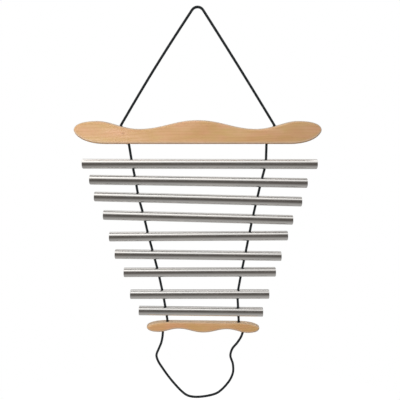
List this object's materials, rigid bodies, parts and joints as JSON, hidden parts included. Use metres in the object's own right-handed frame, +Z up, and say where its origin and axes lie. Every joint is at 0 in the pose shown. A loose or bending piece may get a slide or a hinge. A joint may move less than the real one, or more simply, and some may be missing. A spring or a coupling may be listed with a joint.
{
  "type": "hanging wind chime",
  "caption": "Hanging wind chime: level metal tubes of falling length on two runs of cord between a wavy wooden bar and a smaller one, with a cord hanger and a pull loop.",
  "frame": {"origin": "where the hook carries the hanging cord: the underside of the cord's bend, on the middle plane of the bars", "axes": "+X along the tubes, to the right as seen from the front; -Y is the front; +Z is up as it hangs"},
  "size_m": [0.2968, 0.012, 0.5001],
  "materials": {
    "wood": "sanded pale beech, clear matt lacquer",
    "tube": "satin, drawn along its length",
    "cord": "black braided synthetic, matt"
  },
  "bodies": {
    "hook": {"hanger_bend": "cord"},
    "hanger": {"hanger_strand_left": "cord", "hanger_strand_right": "cord"},
    "top_bar": {"top_bar": "wood", "top_bar_cord_left": "cord", "top_bar_cord_right": "cord"},
    "tube_1": {"chime_tube_1": "tube", "tube_1_cord_left": "cord", "tube_1_cord_right": "cord"},
    "tube_2": {"chime_tube_2": "tube", "tube_2_cord_left": "cord", "tube_2_cord_right": "cord"},
    "tube_3": {"chime_tube_3": "tube", "tube_3_cord_left": "cord", "tube_3_cord_right": "cord"},
    "tube_4": {"chime_tube_4": "tube", "tube_4_cord_left": "cord", "tube_4_cord_right": "cord"},
    "tube_5": {"chime_tube_5": "tube", "tube_5_cord_left": "cord", "tube_5_cord_right": "cord"},
    "tube_6": {"chime_tube_6": "tube", "tube_6_cord_left": "cord", "tube_6_cord_right": "cord"},
    "tube_7": {"chime_tube_7": "tube", "tube_7_cord_left": "cord", "tube_7_cord_right": "cord"},
    "tube_8": {"chime_tube_8": "tube", "tube_8_cord_left": "cord", "tube_8_cord_right": "cord"},
    "tube_9": {"chime_tube_9": "tube", "tube_9_cord_left": "cord", "tube_9_cord_right": "cord"},
    "bottom_bar": {"bottom_bar": "wood", "bottom_bar_cord_left": "cord", "bottom_bar_cord_right": "cord"},
    "pull_loop": {"pull_loop": "cord"}
  },
  "joints": [
    {"name": "hanger_swing", "type": "hinge", "parent": "hook", "child": "hanger", "pos_m": [0, 0, -0.002], "axis": [1, 0, 0], "range_deg": [-30, 30]},
    {"name": "top_bar_rock", "type": "hinge", "parent": "hanger", "child": "top_bar", "pos_m": [0, 0, -0.13162], "axis": [1, 0, 0], "range_deg": [-20, 20]},
    {"name": "tube_1_swing", "type": "hinge", "parent": "top_bar", "child": "tube_1", "pos_m": [0.00012, 0, -0.15569], "axis": [1, 0, -0.0001], "range_deg": [-20, 20]},
    {"name": "tube_2_swing", "type": "hinge", "parent": "tube_1", "child": "tube_2", "pos_m": [0.00136, 0, -0.18586], "axis": [1, 0, -0.0016], "range_deg": [-20, 20]},
    {"name": "tube_3_swing", "type": "hinge", "parent": "tube_2", "child": "tube_3", "pos_m": [0.00045, 0, -0.20736], "axis": [0.9999, 0, -0.0156], "range_deg": [-20, 20]},
    {"name": "tube_4_swing", "type": "hinge", "parent": "tube_3", "child": "tube_4", "pos_m": [0.00005, 0, -0.22954], "axis": [0.9997, 0, -0.0256], "range_deg": [-20, 20]},
    {"name": "tube_5_swing", "type": "hinge", "parent": "tube_4", "child": "tube_5", "pos_m": [0.00058, 0, -0.25297], "axis": [0.9996, 0, -0.0273], "range_deg": [-20, 20]},
    {"name": "tube_6_swing", "type": "hinge", "parent": "tube_5", "child": "tube_6", "pos_m": [0.00152, 0, -0.27716], "axis": [1, 0, 0.0059], "range_deg": [-20, 20]},
    {"name": "tube_7_swing", "type": "hinge", "parent": "tube_6", "child": "tube_7", "pos_m": [0.00209, 0, -0.30208], "axis": [0.9999, 0, -0.0133], "range_deg": [-20, 20]},
    {"name": "tube_8_swing", "type": "hinge", "parent": "tube_7", "child": "tube_8", "pos_m": [0.00277, 0, -0.32487], "axis": [1, 0, 0.0034], "range_deg": [-20, 20]},
    {"name": "tube_9_swing", "type": "hinge", "parent": "tube_8", "child": "tube_9", "pos_m": [0.00395, 0, -0.35489], "axis": [1, 0, 0.0016], "range_deg": [-20, 20]},
    {"name": "bottom_bar_swing", "type": "hinge", "parent": "tube_9", "child": "bottom_bar", "pos_m": [0.00639, 0, -0.37862], "axis": [0.9999, 0, -0.0123], "range_deg": [-20, 20]},
    {"name": "pull_loop_swing", "type": "hinge", "parent": "bottom_bar", "child": "pull_loop", "pos_m": [0.00681, 0, -0.40034], "axis": [0.9999, 0, -0.0122], "range_deg": [-60, 60]}
  ]
}
